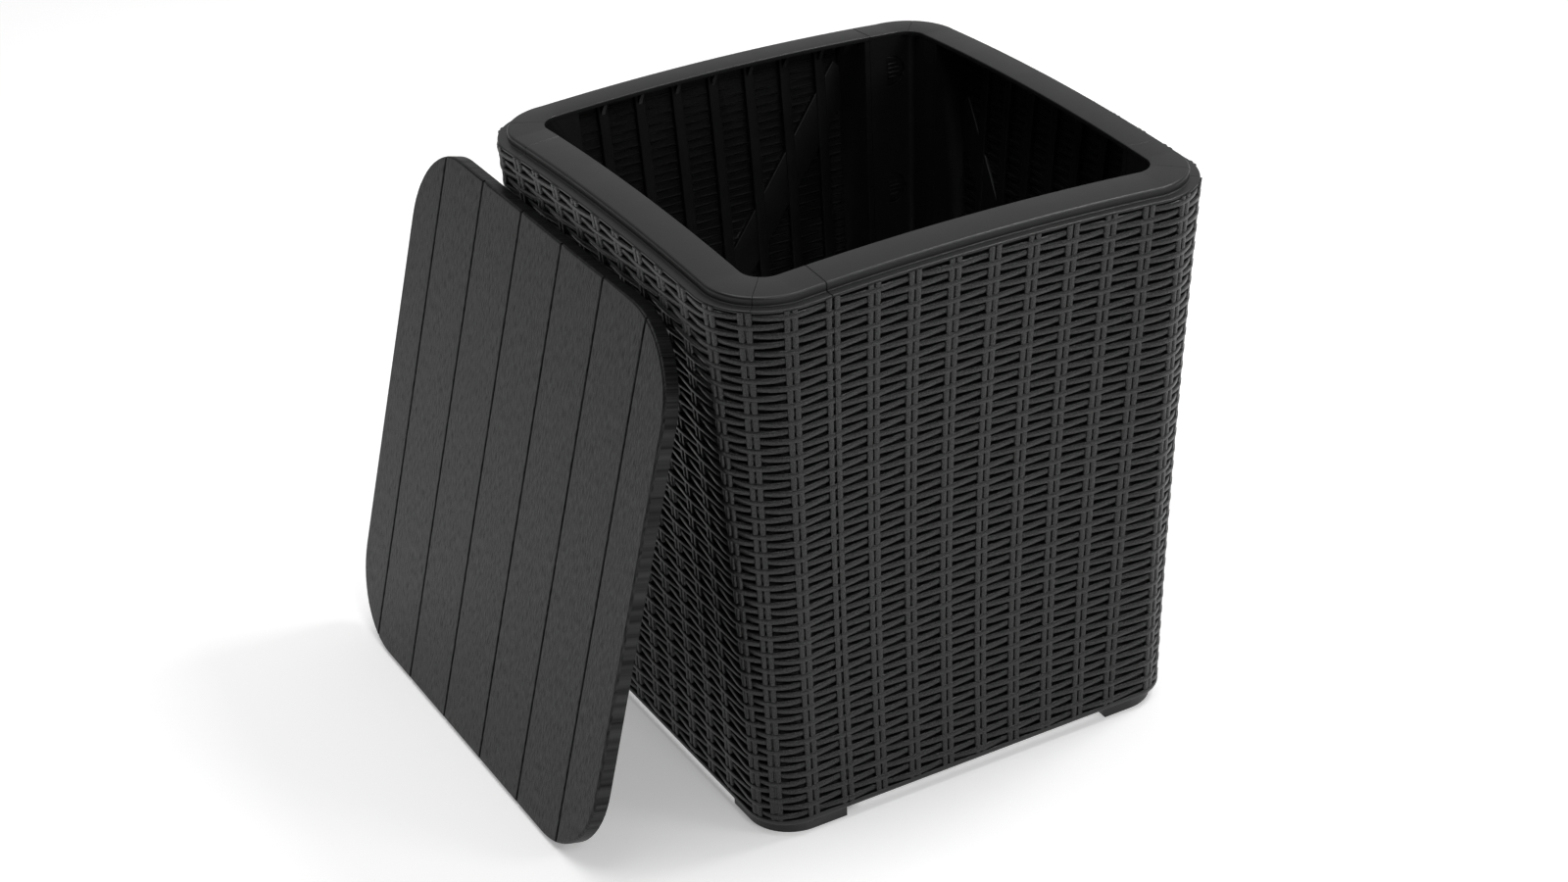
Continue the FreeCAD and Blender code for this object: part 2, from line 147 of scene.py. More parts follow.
# Lid
LEAN = math.radians(14.3)
LID_SIDE = 75.0
LID_SIZE = 466.5
LID_THICK = 12.8
LID_CORNER = 75.0
LID_FOOT = -338.12        # the lid's lower edge stands here
PLANK = 73.45
PLANKS = 7
PLANK_POINTS = 12         # along each end of a plank
GROOVE_HALF = 0.9
GROOVE_DEEP = 2.2
GROOVE_CHAMFER = 0.4      # of the rounded edge's inset
EDGE_ROUND = 2.0
EDGE_INSET = 0.1
GRAIN_UV = 1.7            # each plank has its own stretch of grain

# Sharp angles, in degrees, for the solid's own faces, the small mouldings and the weave
SOLID_SHARP = 32.0
DETAIL_SHARP = 35.0
WEAVE_SHARP = 62.0

# Camera, fitted to the photograph: its axes, place in metres and focal length in pixels
RIGHT = (0.8615395, -0.5067031, -0.0316483)
DOWN = (-0.2699173, -0.4043549, -0.8738660)
AHEAD = (0.4299934, 0.7614125, -0.4851357)
CAMERA_PLACE = (-1.087442, -1.879116, 1.428995)
FOCAL = 2970.4
PICTURE_WIDE = 1600.0
SENSOR = 36.0
SHIFT = (-0.0246, -0.0016)

# Soft lights: place and size in metres, power in watts. All look at LIGHT_AIM
LIGHTS = {
    "key": ((2.0, -2.6, 2.4), 0.9, 16),
    "edge": ((1.7, -0.2, 3.0), 0.9, 35),
    "near": ((-0.35, -2.6, 2.6), 0.7, 16),
    "top": ((-0.5, 0.4, 3.3), 2.0, 34),
}
LIGHT_AIM = (0, 0, 0.3)
ROOM = (0.1, 0.5)         # the room's light, darker on the lid's side
FLOOR_REACH = 9000.0
FLOOR_TONES = (0.4, 0.98)  # for the light it sends on, and as it is seen
FLOOR_GLOW = 0.27

PANELS = ("front_panel", "right_panel", "back_panel", "left_panel")
MM = 0.001
RESIN_IOR = 1.49


def wall_rise(z):
    """0 at the walls' lower edge, 1 at the ledge."""
    return (z - BASE_Z) / (LEDGE_Z - BASE_Z)


def wall_half(z, along=CORNER):
    """Half width of the box over the weave, at a height and a place along the side."""
    rise = wall_rise(z)
    across = np.maximum(0.0, 1.0 - (np.asarray(along) / CORNER) ** 2)
    waist = 4.0 * rise * (1.0 - rise) * (WAIST_CORNER + (WAIST_MID - WAIST_CORNER) * across)
    return BASE_HALF + (LEDGE_HALF - BASE_HALF) * rise - waist


def arch(along):
    """How far the rim rises at a place along a side."""
    return ARCH * np.maximum(0.0, 1.0 - (along / CORNER) ** 2)


def pair_line(pair, z):
    """Place of a stake pair round the panel's outer face, from the middle of its long wall."""
    pitch = PITCH_BASE + (PITCH_TOP - PITCH_BASE) * wall_rise(z)
    radius = wall_half(z) - CORNER
    line = (pair - MIDDLE) * pitch
    for i, degrees in enumerate(CORNER_PAIR_ANGLES):
        line = np.where(pair == STEP_PAIR + 1 + i, CORNER + math.radians(degrees) * radius, line)
    return_line = 2 * CORNER + radius * math.pi / 2 + (pair - PAIRS_ROUND - MIDDLE) * pitch
    return np.where(pair > PAIRS_ROUND, return_line, line)


def side_place(place, radius):
    """Distance from the middle of the long side or of the return's side."""
    back = place - 2 * CORNER - radius * math.pi / 2
    return np.where(place <= CORNER, place, np.maximum(back, -CORNER))


def round_panel(place, radius, half, z):
    """Point at a place round the front panel, counted along a corner of this radius."""
    angle = np.clip((place - CORNER) / radius, 0.0, math.pi / 2)
    back = np.maximum(place - 2 * CORNER - radius * math.pi / 2, -CORNER)
    x = np.minimum(place, CORNER) + (half - CORNER) * np.sin(angle)
    y = back - (half - CORNER) * np.cos(angle)
    return np.stack(np.broadcast_arrays(x, y, z), -1)


def on_panel(place, depth, z):
    """Point on the front panel, depth behind its outer face, in millimetres."""
    level = np.minimum(z, LEDGE_Z)
    radius = wall_half(level) - CORNER
    return round_panel(place, radius, wall_half(level, side_place(place, radius)) - depth, z)


def on_rim(place, half, z):
    """Point on the rim, which keeps its half width and rises with the arch."""
    return round_panel(place, RIM_RADIUS, half, z + arch(side_place(place, RIM_RADIUS)))


def half_and_side(points):
    """Half width at which points of the front panel lie, their place along the side,
    and which of them are in the corner and on the return."""
    x, y = points[:, 0], points[:, 1]
    in_corner = (x > CORNER) & (y < -CORNER)
    on_return = (x > CORNER) & (y >= -CORNER)
    half = np.where(in_corner, CORNER + np.hypot(x - CORNER, y + CORNER), -y)
    half = np.where(on_return, x, half)
    along = np.where(in_corner, CORNER, np.where(on_return, y, np.clip(x, -CORNER, CORNER)))
    return half, along, in_corner, on_return


def turn(quarters):
    """Turns from the front panel's place to another panel's."""
    return Matrix.Rotation(math.radians(90.0 * quarters), 4, "Z")


def arc(centre, radius, start, end, steps):
    """Points on an arc in a section, with angles in degrees."""
    angles = np.radians(np.linspace(start, end, steps + 1))
    return [(centre[0] + radius * math.cos(a), centre[1] + radius * math.sin(a)) for a in angles]


def swept(loops):
    """Closed skin over a row of equal loops, with flat ends."""
    count, size = loops.shape[:2]
    faces = [(i * size + j, i * size + (j + 1) % size,
              (i + 1) * size + (j + 1) % size, (i + 1) * size + j)
             for i in range(count - 1) for j in range(size)]
    faces += [tuple(range(size)), tuple(range((count - 1) * size, count * size))]
    return loops.reshape(-1, 3), faces


def gather(parts):
    """One list of points and faces from several."""
    points, faces, start = [], [], 0
    for part_points, part_faces in parts:
        points.append(part_points)
        faces += [tuple(start + i for i in face) for face in part_faces]
        start += len(part_points)
    return np.concatenate(points), faces


def new_object(name, points, faces, quarters=0, uv=None):
    """Piece from points in millimetres round the front panel, turned to its own wall."""
    points = np.asarray(points, float) @ np.array(turn(quarters).to_3x3()).T
    mesh = bpy.data.meshes.new(name)
    mesh.from_pydata([tuple(p) for p in points * MM], [], faces)
    if uv is not None:
        layer = mesh.uv_layers.new(name="UVMap")
        corners = np.zeros(len(mesh.loops), int)
        mesh.loops.foreach_get("vertex_index", corners)
        layer.data.foreach_set("uv", np.asarray(uv, float)[corners].ravel())
    work = bmesh.new()
    work.from_mesh(mesh)
    bmesh.ops.recalc_face_normals(work, faces=work.faces)
    work.to_mesh(mesh)
    work.free()
    piece = bpy.data.objects.new(name, mesh)
    bpy.context.scene.collection.objects.link(piece)
    return piece


def finish(piece, material, body, degrees):
    """Gives a piece its material, smooth shading up to an angle, and its body."""
    mesh = piece.data
    mesh.materials.append(material)
    mesh.shade_smooth()
    mesh.set_sharp_from_angle(angle=math.radians(degrees))
    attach(piece, body)


def add(tree, kind, settings=None, links=None):
    """Adds a node. settings are its properties and input values, links its inputs' sources."""
    node = tree.nodes.new(kind)
    for key, value in (settings or {}).items():
        if isinstance(key, str) and hasattr(node, key):
            setattr(node, key, value)
        else:
            node.inputs[key].default_value = value
    for key, source in (links or {}).items():
        tree.links.new(source, node.inputs[key])
    return node


def maths(tree, operation, a, b=0.0):
    """Socket with the result of a sum. a and b are sockets or numbers."""
    node = add(tree, "ShaderNodeMath", {"operation": operation})
    for i, value in enumerate((a, b)):
        if isinstance(value, (int, float)):
            node.inputs[i].default_value = value
        else:
            tree.links.new(value, node.inputs[i])
    return node.outputs[0]


def new_tree(name, sizes):
    """Geometry node group with a named input for each size."""
    tree = bpy.data.node_groups.new(name, "GeometryNodeTree")
    tree.interface.new_socket("Geometry", in_out="OUTPUT", socket_type="NodeSocketGeometry")
    for label, value in sizes.items():
        kind = "NodeSocketInt" if isinstance(value, int) else "NodeSocketFloat"
        tree.interface.new_socket(label, in_out="INPUT", socket_type=kind)
    given, result = add(tree, "NodeGroupInput"), add(tree, "NodeGroupOutput")
    return tree, {s.name: s for s in given.outputs}, result


def baked(name, tree, sizes):
    """Points and faces that the tree makes with these sizes."""
    holder = bpy.data.objects.new(name, bpy.data.meshes.new(name))
    bpy.context.scene.collection.objects.link(holder)
    modifier = holder.modifiers.new(name, "NODES")
    modifier.node_group = tree
    for item in tree.interface.items_tree:
        if item.in_out == "INPUT":
            modifier[item.identifier] = sizes[item.name]
    graph = bpy.context.evaluated_depsgraph_get()
    graph.update()
    mesh = bpy.data.meshes.new_from_object(holder.evaluated_get(graph))
    points = np.zeros(len(mesh.vertices) * 3)
    mesh.vertices.foreach_get("co", points)
    faces = [tuple(p.vertices) for p in mesh.polygons]
    holder.modifiers.remove(modifier)
    bpy.data.objects.remove(holder)
    return points.reshape(-1, 3), faces


def rod(tree, sides, segments):
    """Straight rod with its section's first side turned to the front.
    Gives the geometry and the sockets along, front and across."""
    radius = 1.0 / math.cos(math.pi / sides)
    tube = add(tree, "GeometryNodeMeshCylinder",
               {"fill_type": "NGON", "Vertices": sides, "Side Segments": segments,
                "Radius": radius, "Depth": 1.0})
    turned = add(tree, "GeometryNodeTransform", {"Rotation": (0.0, 0.0, math.pi / sides)},
                 {"Geometry": tube.outputs["Mesh"]})
    place = add(tree, "GeometryNodeInputPosition")
    split = add(tree, "ShaderNodeSeparateXYZ", links={0: place.outputs[0]})
    return turned.outputs[0], split.outputs[2], split.outputs[0], split.outputs[1]


def moved_to(tree, shape, x=None, depth=None, height=None):
    """The shape's points set to these sockets. One left out is 0."""
    links = {i: s for i, s in enumerate((x, depth, height)) if s is not None}
    spot = add(tree, "ShaderNodeCombineXYZ", links=links)
    placed = add(tree, "GeometryNodeSetPosition",
                 links={"Geometry": shape, "Position": spot.outputs[0]})
    return placed.outputs[0]


def copied(tree, shape, points, spin, material, result):
    """Sets the shape on each point, makes it real and gives it its material."""
    links = {"Points": points, "Instance": shape}
    if spin:
        links["Rotation"] = spin
    copies = add(tree, "GeometryNodeInstanceOnPoints", links=links)
    real = add(tree, "GeometryNodeRealizeInstances", links={0: copies.outputs[0]})
    dressed = add(tree, "GeometryNodeSetMaterial", {"Material": material},
                  {"Geometry": real.outputs[0]})
    tree.links.new(dressed.outputs[0], result.inputs[0])


def strand_tree(sizes, material):
    """Flat weave: each strand goes over one stake pair and under the next.
    X runs along the rows, Y is the depth behind the outer face and Z is the height."""
    tree, size, result = new_tree("woven strands", sizes)
    shape, along, front, across = rod(tree, 8, 6)
    sink = add(tree, "ShaderNodeMapRange", {"From Min": STRAND_RUN[0], "From Max": STRAND_RUN[1]},
               {"Value": along, "To Max": size["Dip"]})
    # The section has a flat face with bevelled edges and a flat back
    is_crown = maths(tree, "GREATER_THAN", front, 0.9)
    is_back = maths(tree, "LESS_THAN", front, 0.0)
    edge = maths(tree, "MULTIPLY", maths(tree, "SUBTRACT", 1.0, is_crown), size["Crown"])
    body = maths(tree, "SUBTRACT", size["Thick"], size["Crown"])
    rest = maths(tree, "MULTIPLY", is_back, body)
    depth = maths(tree, "ADD", sink.outputs[0], maths(tree, "ADD", edge, rest))
    stretch = maths(tree, "ADD", 1.0, maths(tree, "MULTIPLY", is_crown, STRAND_FACE - 1.0))
    wide = maths(tree, "MULTIPLY", across, maths(tree, "ADD", stretch, is_back))
    wide = maths(tree, "MINIMUM", maths(tree, "MAXIMUM", wide, -1.0), 1.0)
    height = maths(tree, "MULTIPLY", wide, maths(tree, "MULTIPLY", size["Tall"], 0.5))
    strand = moved_to(tree, shape, maths(tree, "MULTIPLY", along, size["Unit"]), depth, height)
    # One point for each row in each gap between pairs
    count = maths(tree, "MULTIPLY", size["Rows"], size["Gaps"])
    points = add(tree, "GeometryNodePoints", links={"Count": count})
    index = add(tree, "GeometryNodeInputIndex").outputs[0]
    row = maths(tree, "MODULO", index, size["Rows"])
    gap = maths(tree, "FLOOR", maths(tree, "DIVIDE", index, size["Rows"]))
    pair = maths(tree, "ADD", gap, size["First pair"])
    growth = maths(tree, "MULTIPLY", row, size["Row growth"])
    drop = maths(tree, "MULTIPLY", row, maths(tree, "ADD", size["Row step"], growth))
    middle = maths(tree, "MULTIPLY", maths(tree, "ADD", pair, 0.5), size["Unit"])
    placed = moved_to(tree, points.outputs[0], middle,
                      height=maths(tree, "SUBTRACT", size["Top row"], drop))
    odd = maths(tree, "MODULO", maths(tree, "ADD", row, pair), 2.0)
    half_turn = maths(tree, "MULTIPLY", maths(tree, "SUBTRACT", 1.0, odd), math.pi)
    spin = add(tree, "ShaderNodeCombineXYZ", links={1: half_turn})
    copied(tree, strand, placed, spin.outputs[0], material, result)
    return tree


def stake_tree(sizes, material):
    """Flat stakes: two round-faced rods for each pair, with a groove between them."""
    tree, size, result = new_tree("stake pairs", sizes)
    shape, along, front, across = rod(tree, 12, 26)
    fall = maths(tree, "MULTIPLY", maths(tree, "SUBTRACT", 1.0, front), size["Round"])
    rounded = maths(tree, "ADD", size["Depth"], fall)
    # Points of the back half go past the back and are brought to it
    far = maths(tree, "MULTIPLY", maths(tree, "LESS_THAN", front, 0.0), 99.0)
    depth = maths(tree, "MINIMUM", maths(tree, "ADD", rounded, far), size["Back"])
    wide = maths(tree, "MULTIPLY", across, maths(tree, "MULTIPLY", size["Wide"], 0.5))
    span = maths(tree, "MULTIPLY", maths(tree, "ADD", along, 0.5),
                 maths(tree, "SUBTRACT", size["Top"], size["Foot"]))
    stake = moved_to(tree, shape, wide, depth, maths(tree, "ADD", span, size["Foot"]))
    points = add(tree, "GeometryNodePoints", links={"Count": size["Stakes"]})
    later = maths(tree, "ADD", add(tree, "GeometryNodeInputIndex").outputs[0], 1.0)
    pair = maths(tree, "FLOOR", maths(tree, "DIVIDE", later, 2.0))
    side = maths(tree, "SUBTRACT", maths(tree, "MODULO", later, 2.0), 0.5)
    middle = maths(tree, "MULTIPLY", maths(tree, "ADD", pair, size["First pair"]), size["Unit"])
    apart = maths(tree, "MULTIPLY", side, maths(tree, "ADD", size["Wide"], size["Groove"]))
    placed = moved_to(tree, points.outputs[0], maths(tree, "ADD", middle, apart))
    copied(tree, stake, placed, None, material, result)
    return tree


def linear(colour):
    """sRGB hex to linear red, green, blue and alpha."""
    values = [int(colour[i:i + 2], 16) / 255 for i in (1, 3, 5)]
    return [v / 12.92 if v <= 0.04045 else ((v + 0.055) / 1.055) ** 2.4 for v in values] + [1.0]


def new_material(name):
    """Material with its node tree and its one surface shader."""
    material = bpy.data.materials.new(name)
    material.use_nodes = True
    tree = material.node_tree
    tree.nodes.clear()
    surface = add(tree, "ShaderNodeBsdfPrincipled")
    add(tree, "ShaderNodeOutputMaterial", links={"Surface": surface.outputs[0]})
    return material, tree, surface


def noise(tree, vector, scale, settings):
    """Noise over the vector, which is first stretched by a scale for each axis, or evenly."""
    if isinstance(scale, tuple):
        vector = add(tree, "ShaderNodeMapping", {"Scale": scale}, {"Vector": vector}).outputs[0]
        scale = 1.0
    return add(tree, "ShaderNodeTexNoise", {"Scale": scale, **settings},
               {"Vector": vector}).outputs[0]


def ranged(tree, value, low, high, start=0.0, end=1.0):
    """Socket that goes from low to high while the value goes from start to end."""
    node = add(tree, "ShaderNodeMapRange",
               {"From Min": start, "From Max": end, "To Min": low, "To Max": high},
               {"Value": value})
    return node.outputs[0]


def two_tones(tree, value, dark, pale, start, end):
    """Colour that goes from dark to pale while the value goes from start to end."""
    ramp = add(tree, "ShaderNodeValToRGB", links={"Fac": value})
    for element, colour, position in zip(ramp.color_ramp.elements, (dark, pale), (start, end)):
        element.position = position
        element.color = linear(colour)
    return ramp.outputs[0]


def bumped(tree, height, strength, distance):
    """Normal of a surface with this relief, distance metres deep."""
    node = add(tree, "ShaderNodeBump", {"Strength": strength, "Distance": distance},
               {"Height": height})
    return node.outputs[0]


def plug(tree, surface, sources):
    """Links sources to the surface shader's inputs, or sets them to plain values."""
    for name, source in sources.items():
        if isinstance(source, (int, float, list)):
            surface.inputs[name].default_value = source
        else:
            tree.links.new(source, surface.inputs[name])


def moulded_resin():
    """Polypropylene from an etched mould: nearly black, with a fine satin grain."""
    material, tree, surface = new_material("satin moulded polypropylene")
    where = add(tree, "ShaderNodeTexCoord").outputs["Object"]
    etch = noise(tree, where, 1600.0, {"Detail": 2.0})
    cloud = noise(tree, where, 35.0, {"Detail": 3.0})
    plug(tree, surface, {"Base Color": linear("#0d0d0e"), "IOR": RESIN_IOR,
                         "Roughness": ranged(tree, cloud, 0.34, 0.46),
                         "Normal": bumped(tree, etch, 0.2, 0.0002)})
    return material


def woven_resin():
    """The same resin where the mould copies split cane: fine streaks along each strand. Its gloss
    strength follows a fine noise: painted shade in the grain's pits and painted glints on the
    ridges between them."""
    material, tree, surface = new_material("cane-textured polypropylene")
    where = add(tree, "ShaderNodeUVMap", {"uv_map": "UVMap"}).outputs[0]
    streak = noise(tree, where, (260.0, 1000.0, 1.0), {"Detail": 3.0, "Roughness": 0.6})
    pit_shade_and_glints = noise(tree, where, (900.0, 1500.0, 1.0), {"Detail": 2.0})
    plug(tree, surface, {"Base Color": two_tones(tree, streak, "#090909", "#141415", 0.35, 0.65),
                         "IOR": RESIN_IOR,
                         "Roughness": ranged(tree, streak, 0.24, 0.42),
                         # Painted shade and painted glints: the gloss strength rises and falls with
                         # the fine noise, so the strands speckle under any light
                         "Specular IOR Level": ranged(tree, pit_shade_and_glints, 0.12, 0.8, 0.38, 0.68),
                         "Normal": bumped(tree, streak, 0.6, 0.0005)})
    return material


def brushed_plank():
    """Polypropylene with a brushed wood grain: short fine lines that run along each plank."""
    material, tree, surface = new_material("wood-grained polypropylene")
    where = add(tree, "ShaderNodeUVMap", {"uv_map": "UVMap"}).outputs[0]
    grain = noise(tree, where, (1100.0, 110.0, 1.0),
                  {"Detail": 4.0, "Roughness": 0.55, "Distortion": 0.3})
    plug(tree, surface, {"Base Color": two_tones(tree, grain, "#0b0b0c", "#19191a", 0.36, 0.64),
                         "IOR": RESIN_IOR,
                         "Roughness": 0.45,
                         "Specular IOR Level": ranged(tree, grain, 0.12, 0.42, 0.34, 0.66),
                         "Normal": bumped(tree, grain, 0.55, 0.0005)})
    return material


def merged_points(node):
    """A CAD node's mesh in a work mesh with its loose triangles joined, and its points in mm."""
    work = bmesh.new()
    work.from_mesh(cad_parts[node].data)
    bmesh.ops.remove_doubles(work, verts=work.verts, dist=1e-6)
    return work, np.array([v.co[:] for v in work.verts]) / MM


def weighted(piece):
    """Bakes shading that follows the large faces, so fillets look smooth and flats flat."""
    modifier = piece.modifiers.new("flat faces lead", "WEIGHTED_NORMAL")
    modifier.keep_sharp = True
    graph = bpy.context.evaluated_depsgraph_get()
    graph.update()
    mesh = bpy.data.meshes.new_from_object(piece.evaluated_get(graph))
    piece.modifiers.remove(modifier)
    piece.data = mesh


def sunk_outer_face(points):
    """Moves the solid's plain stakes, rail and rim a little inside the detailed ones."""
    half, along, in_corner, on_return = half_and_side(points)
    x, y, z = points.T
    depth = wall_half(z, along) - half
    rise = arch(along)
    level = z - rise
    new_half, new_z = half.copy(), z.copy()
    woven = (z > WEAVE_START) & (level < RIM_START) & (depth < OUTER_SKIN)
    new_half[woven] -= (np.where(depth < STAKE_SKIN, STAKE_CORE, SHEET_DEEP) - depth)[woven]
    new_z[(abs(z - RAIL_Z) < NEAR) & (depth < OUTER_SKIN)] = RAIL_Z - RAIL_DROP
    rail_edge = (z < RAIL_Z + NEAR) & (z > BASE_Z - NEAR) & (depth < FACE_SKIN)
    new_half[rail_edge] = (half - RAIL_SINK)[rail_edge]
    new_z[(abs(z - BASE_Z) < NEAR) & (depth < FACE_SKIN)] += RAIL_DROP
    rim = level >= RIM_START
    ledge = rim & (half > RING_OUT + 3 * NEAR)
    new_half[ledge] = np.minimum(half, LEDGE_EDGE - SHRINK)[ledge]
    ledge_z = np.clip(level, LEDGE_Z - LEDGE_THICK + SHRINK, LEDGE_Z - SHRINK) + rise
    new_z[ledge] = ledge_z[ledge]
    ring = rim & ~ledge
    outer, inner, upper = RING_BANDS
    new_half[ring & (half > RING_OUT - outer)] -= SHRINK
    new_half[ring & (half < RING_IN + inner)] += SHRINK
    new_z[ring & (level > RING_Z - RING_FALL - upper)] -= SHRINK
    for under in (RING_Z - RING_THICK, RING_Z - RING_THICK - RING_FALL):
        new_z[ring & (abs(level - under) < 1.5 * NEAR)] += SHRINK
    new_z[ring & (abs(level - LEDGE_Z) < 3 * NEAR)] -= SHRINK
    # Moved straight out or in, from the wall or from the corner's centre
    change = new_half - half
    away = np.maximum(half - CORNER, 1e-6)
    new_x = x + np.where(in_corner, (x - CORNER) / away * change, np.where(on_return, change, 0.0))
    new_y = y + np.where(in_corner, (y + CORNER) / away * change, np.where(on_return, 0.0, -change))
    return np.stack([new_x, new_y, new_z], -1)


def panel_body(name, node, quarters, material):
    """The moulding's inner side, column, latches and foot, as the solid has them."""
    work, points = merged_points(node)
    back = np.array(turn(-quarters).to_3x3())
    points = sunk_outer_face(points @ back.T) @ back
    for vertex, point in zip(work.verts, points):
        vertex.co = point * MM
    mesh = bpy.data.meshes.new(name)
    work.to_mesh(mesh)
    work.free()
    piece = bpy.data.objects.new(name, mesh)
    bpy.context.scene.collection.objects.link(piece)
    finish(piece, material, "box", SOLID_SHARP)
    weighted(piece)
    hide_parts(node)


def panel_ends(z):
    """Places round the panel, at a height, between which it runs from seam to seam."""
    return (pair_line(SEAM_PAIR, z) + SEAM_GAP,
            pair_line(SEAM_PAIR + PAIRS_ROUND, z) - SEAM_GAP)


def rim_stations():
    """Places round the rim, with how far each section is drawn in at a parting line."""
    first, last = map(float, panel_ends(LEDGE_Z))
    quarter = RIM_RADIUS * math.pi / 2
    middle = CORNER + quarter * PARTING_ANGLE / 90.0
    places = [*np.linspace(first + 0.4, CORNER, 40),
              *np.linspace(CORNER, CORNER + quarter, 27)[1:],
              *np.linspace(CORNER + quarter, last - 0.4, 9)[1:]]
    stations = [(p, 0.0) for p in places if abs(p - middle) > 1.0]
    stations += [(p, PARTING) for p in (first, middle, last)]
    stations += [(middle - PARTING_HALF, 0.0), (middle + PARTING_HALF, 0.0)]
    return sorted(stations)


def rim_shape():
    """The ring, its rounded outer edge and the flat ledge, in one closed moulding."""
    edge_z = RING_Z - RING_FALL
    section = [(RING_IN, RING_Z - RING_THICK)]
    section += arc((RING_IN + LIP_ROUND, RING_Z - LIP_ROUND), LIP_ROUND, 180, 90, 3)
    section += arc((RING_OUT - RING_ROUND, edge_z - RING_ROUND), RING_ROUND, 87, 0, 6)
    section += arc((RING_OUT + 0.7, LEDGE_Z + FOOT_ROUND), FOOT_ROUND, 180, 270, 3)
    section += arc((LEDGE_EDGE - LEDGE_ROUND, LEDGE_Z - LEDGE_ROUND), LEDGE_ROUND, 90, 0, 4)
    section += [(LEDGE_EDGE, RIM_UNDER + 0.8), (LEDGE_EDGE - 0.7, RIM_UNDER),
                (NECK, RIM_UNDER), (NECK, edge_z - RING_THICK)]
    section = np.array(section)
    along = np.roll(section, -1, 0) - np.roll(section, 1, 0)
    out = np.stack([-along[:, 1], along[:, 0]], -1)
    out /= np.linalg.norm(out, axis=1)[:, None]
    loops = []
    for place, inset in rim_stations():
        drawn = section - out * inset
        loops.append(on_rim(place, drawn[:, 0], drawn[:, 1]))
    return swept(np.array(loops))


def rail_shape():
    """The strand-like rail along the bottom edge."""
    back, soft = 7.0, 1.2
    section = [(back, BASE_Z)] + arc((soft, BASE_Z + soft), soft, 270, 180, 3)
    section += arc((soft, RAIL_Z - soft), soft, 180, 90, 3) + [(back, RAIL_Z)]
    section = np.array(section)
    places = np.linspace(*map(float, panel_ends(BASE_Z)), 70)
    return swept(np.array([on_panel(place, section[:, 0], section[:, 1]) for place in places]))


def gusset_shape(pair):
    """Web under the ring, with a hollowed edge."""
    hollow = np.array(GUSSET_HOLLOW)
    run = np.concatenate([[0], np.cumsum(np.linalg.norm(np.diff(hollow, axis=0), axis=1))])
    steps = np.linspace(0, run[-1], 13)
    curve = np.stack([np.polyval(np.polyfit(run, hollow[:, i], 3), steps) for i in (0, 1)], -1)
    outline = np.concatenate([GUSSET_BACK, curve, GUSSET_TOP])
    x = float(pair_line(pair, LEDGE_Z))
    loops = [on_rim(x + side, outline[:, 0], outline[:, 1]) for side in (-GUSSET_HALF, GUSSET_HALF)]
    return swept(np.array(loops))


def band_section(half, deep, soft):
    """Section of a bar or band, along the wall and into the box, with two soft edges."""
    section = [(-half, BAR_BACK)] + arc((soft - half, deep - soft), soft, 180, 90, 3)
    section += arc((half - soft, deep - soft), soft, 90, 0, 3) + [(half, BAR_BACK)]
    return np.array(section)


def bar_shape(pair):
    """Upright bar behind a stake pair, with softened edges."""
    section = band_section(BAR_HALF, BAR_DEEP, BAR_ROUND)
    top = LEDGE_Z - LEDGE_THICK + 0.2 + arch(pair_line(pair, LEDGE_Z))
    levels = np.linspace(RAIL_Z - 1.0, float(top), 18)
    loops = [on_panel(pair_line(pair, z) + section[:, 0], section[:, 1], z) for z in levels]
    return swept(np.array(loops))


def brace_shape(start, end):
    """Flat diagonal band across the inner face."""
    section = band_section(BRACE_HALF, BRACE_DEEP, BRACE_ROUND)
    start, end = np.array(start), np.array(end)
    way = (end - start) / np.linalg.norm(end - start)
    side = np.array((-way[1], way[0]))
    loops = []
    for share in np.linspace(0.0, 1.0, 40):
        spot = start + (end - start) * share + section[:, :1] * side
        x, z = spot[:, 0], spot[:, 1]
        x = np.maximum(x, pair_line(SEAM_PAIR, z) + BRACE_STOP)
        loops.append(on_panel(x, section[:, 1], z))
    return swept(np.array(loops))


def grip_shapes():
    """Four short ridges on each half-moon button."""
    section = np.array(GRIP_SECTION)
    shapes = []
    for z in LATCH_HEIGHTS:
        spread = (z - LATCH_HEIGHTS[0]) / (LATCH_HEIGHTS[-1] - LATCH_HEIGHTS[0])
        edge = float(pair_line(SEAM_PAIR, z)) - LATCH_FROM_SEAM - LATCH_SPREAD * spread
        edge -= GRIP_FROM_EDGE
        for up, long in GRIPS:
            level = z + up
            skin = RING_IN - (LEDGE_HALF - BASE_HALF) * (1.0 - wall_rise(level))
            y, height = -skin - section[:, 0], level + section[:, 1]
            loops = [np.stack([np.full(len(section), x), y, height], -1)
                     for x in (edge - long, edge)]
            shapes.append(swept(np.array(loops)))
    return shapes


def row_bend(place, z):
    """How far a row rises in the middle of a side. The low rows sag instead."""
    across = arch(side_place(place, wall_half(z) - CORNER)) / ARCH
    down = (ROW_TOP - z) / (ROW_TOP - BASE_Z)
    return across * (ROW_RISE - ROW_SAG * down ** 2)


def ridge_shapes():
    """The hollow backs of the strands inside: two thin ridges to a row in each window."""
    tall = np.array((-0.5, -0.3, 0.3, 0.5)) * RIDGE_TALL
    shapes = []
    for row in range(ROWS):
        level = ROW_TOP - row * (ROW_STEP + row * ROW_GROWTH)
        for pair in range(SEAM_PAIR, STEP_PAIR):
            left, right = float(pair_line(pair, level)), float(pair_line(pair + 1, level))
            depths = RIDGE_DEPTHS if (row + pair) % 2 else RIDGE_DEPTHS[::-1]
            for side in (-0.5, 0.5):
                loops = []
                for part, deep in zip(RIDGE_ENDS, depths):
                    place = (1 - part) * left + part * right
                    z = level + float(row_bend(place, level)) + side * RIDGE_APART
                    depth = np.array((RIDGE_FOOT, deep, deep, RIDGE_FOOT))
                    loops.append(on_panel(place, depth, z + tall))
                shapes.append(swept(np.array(loops)))
    return shapes


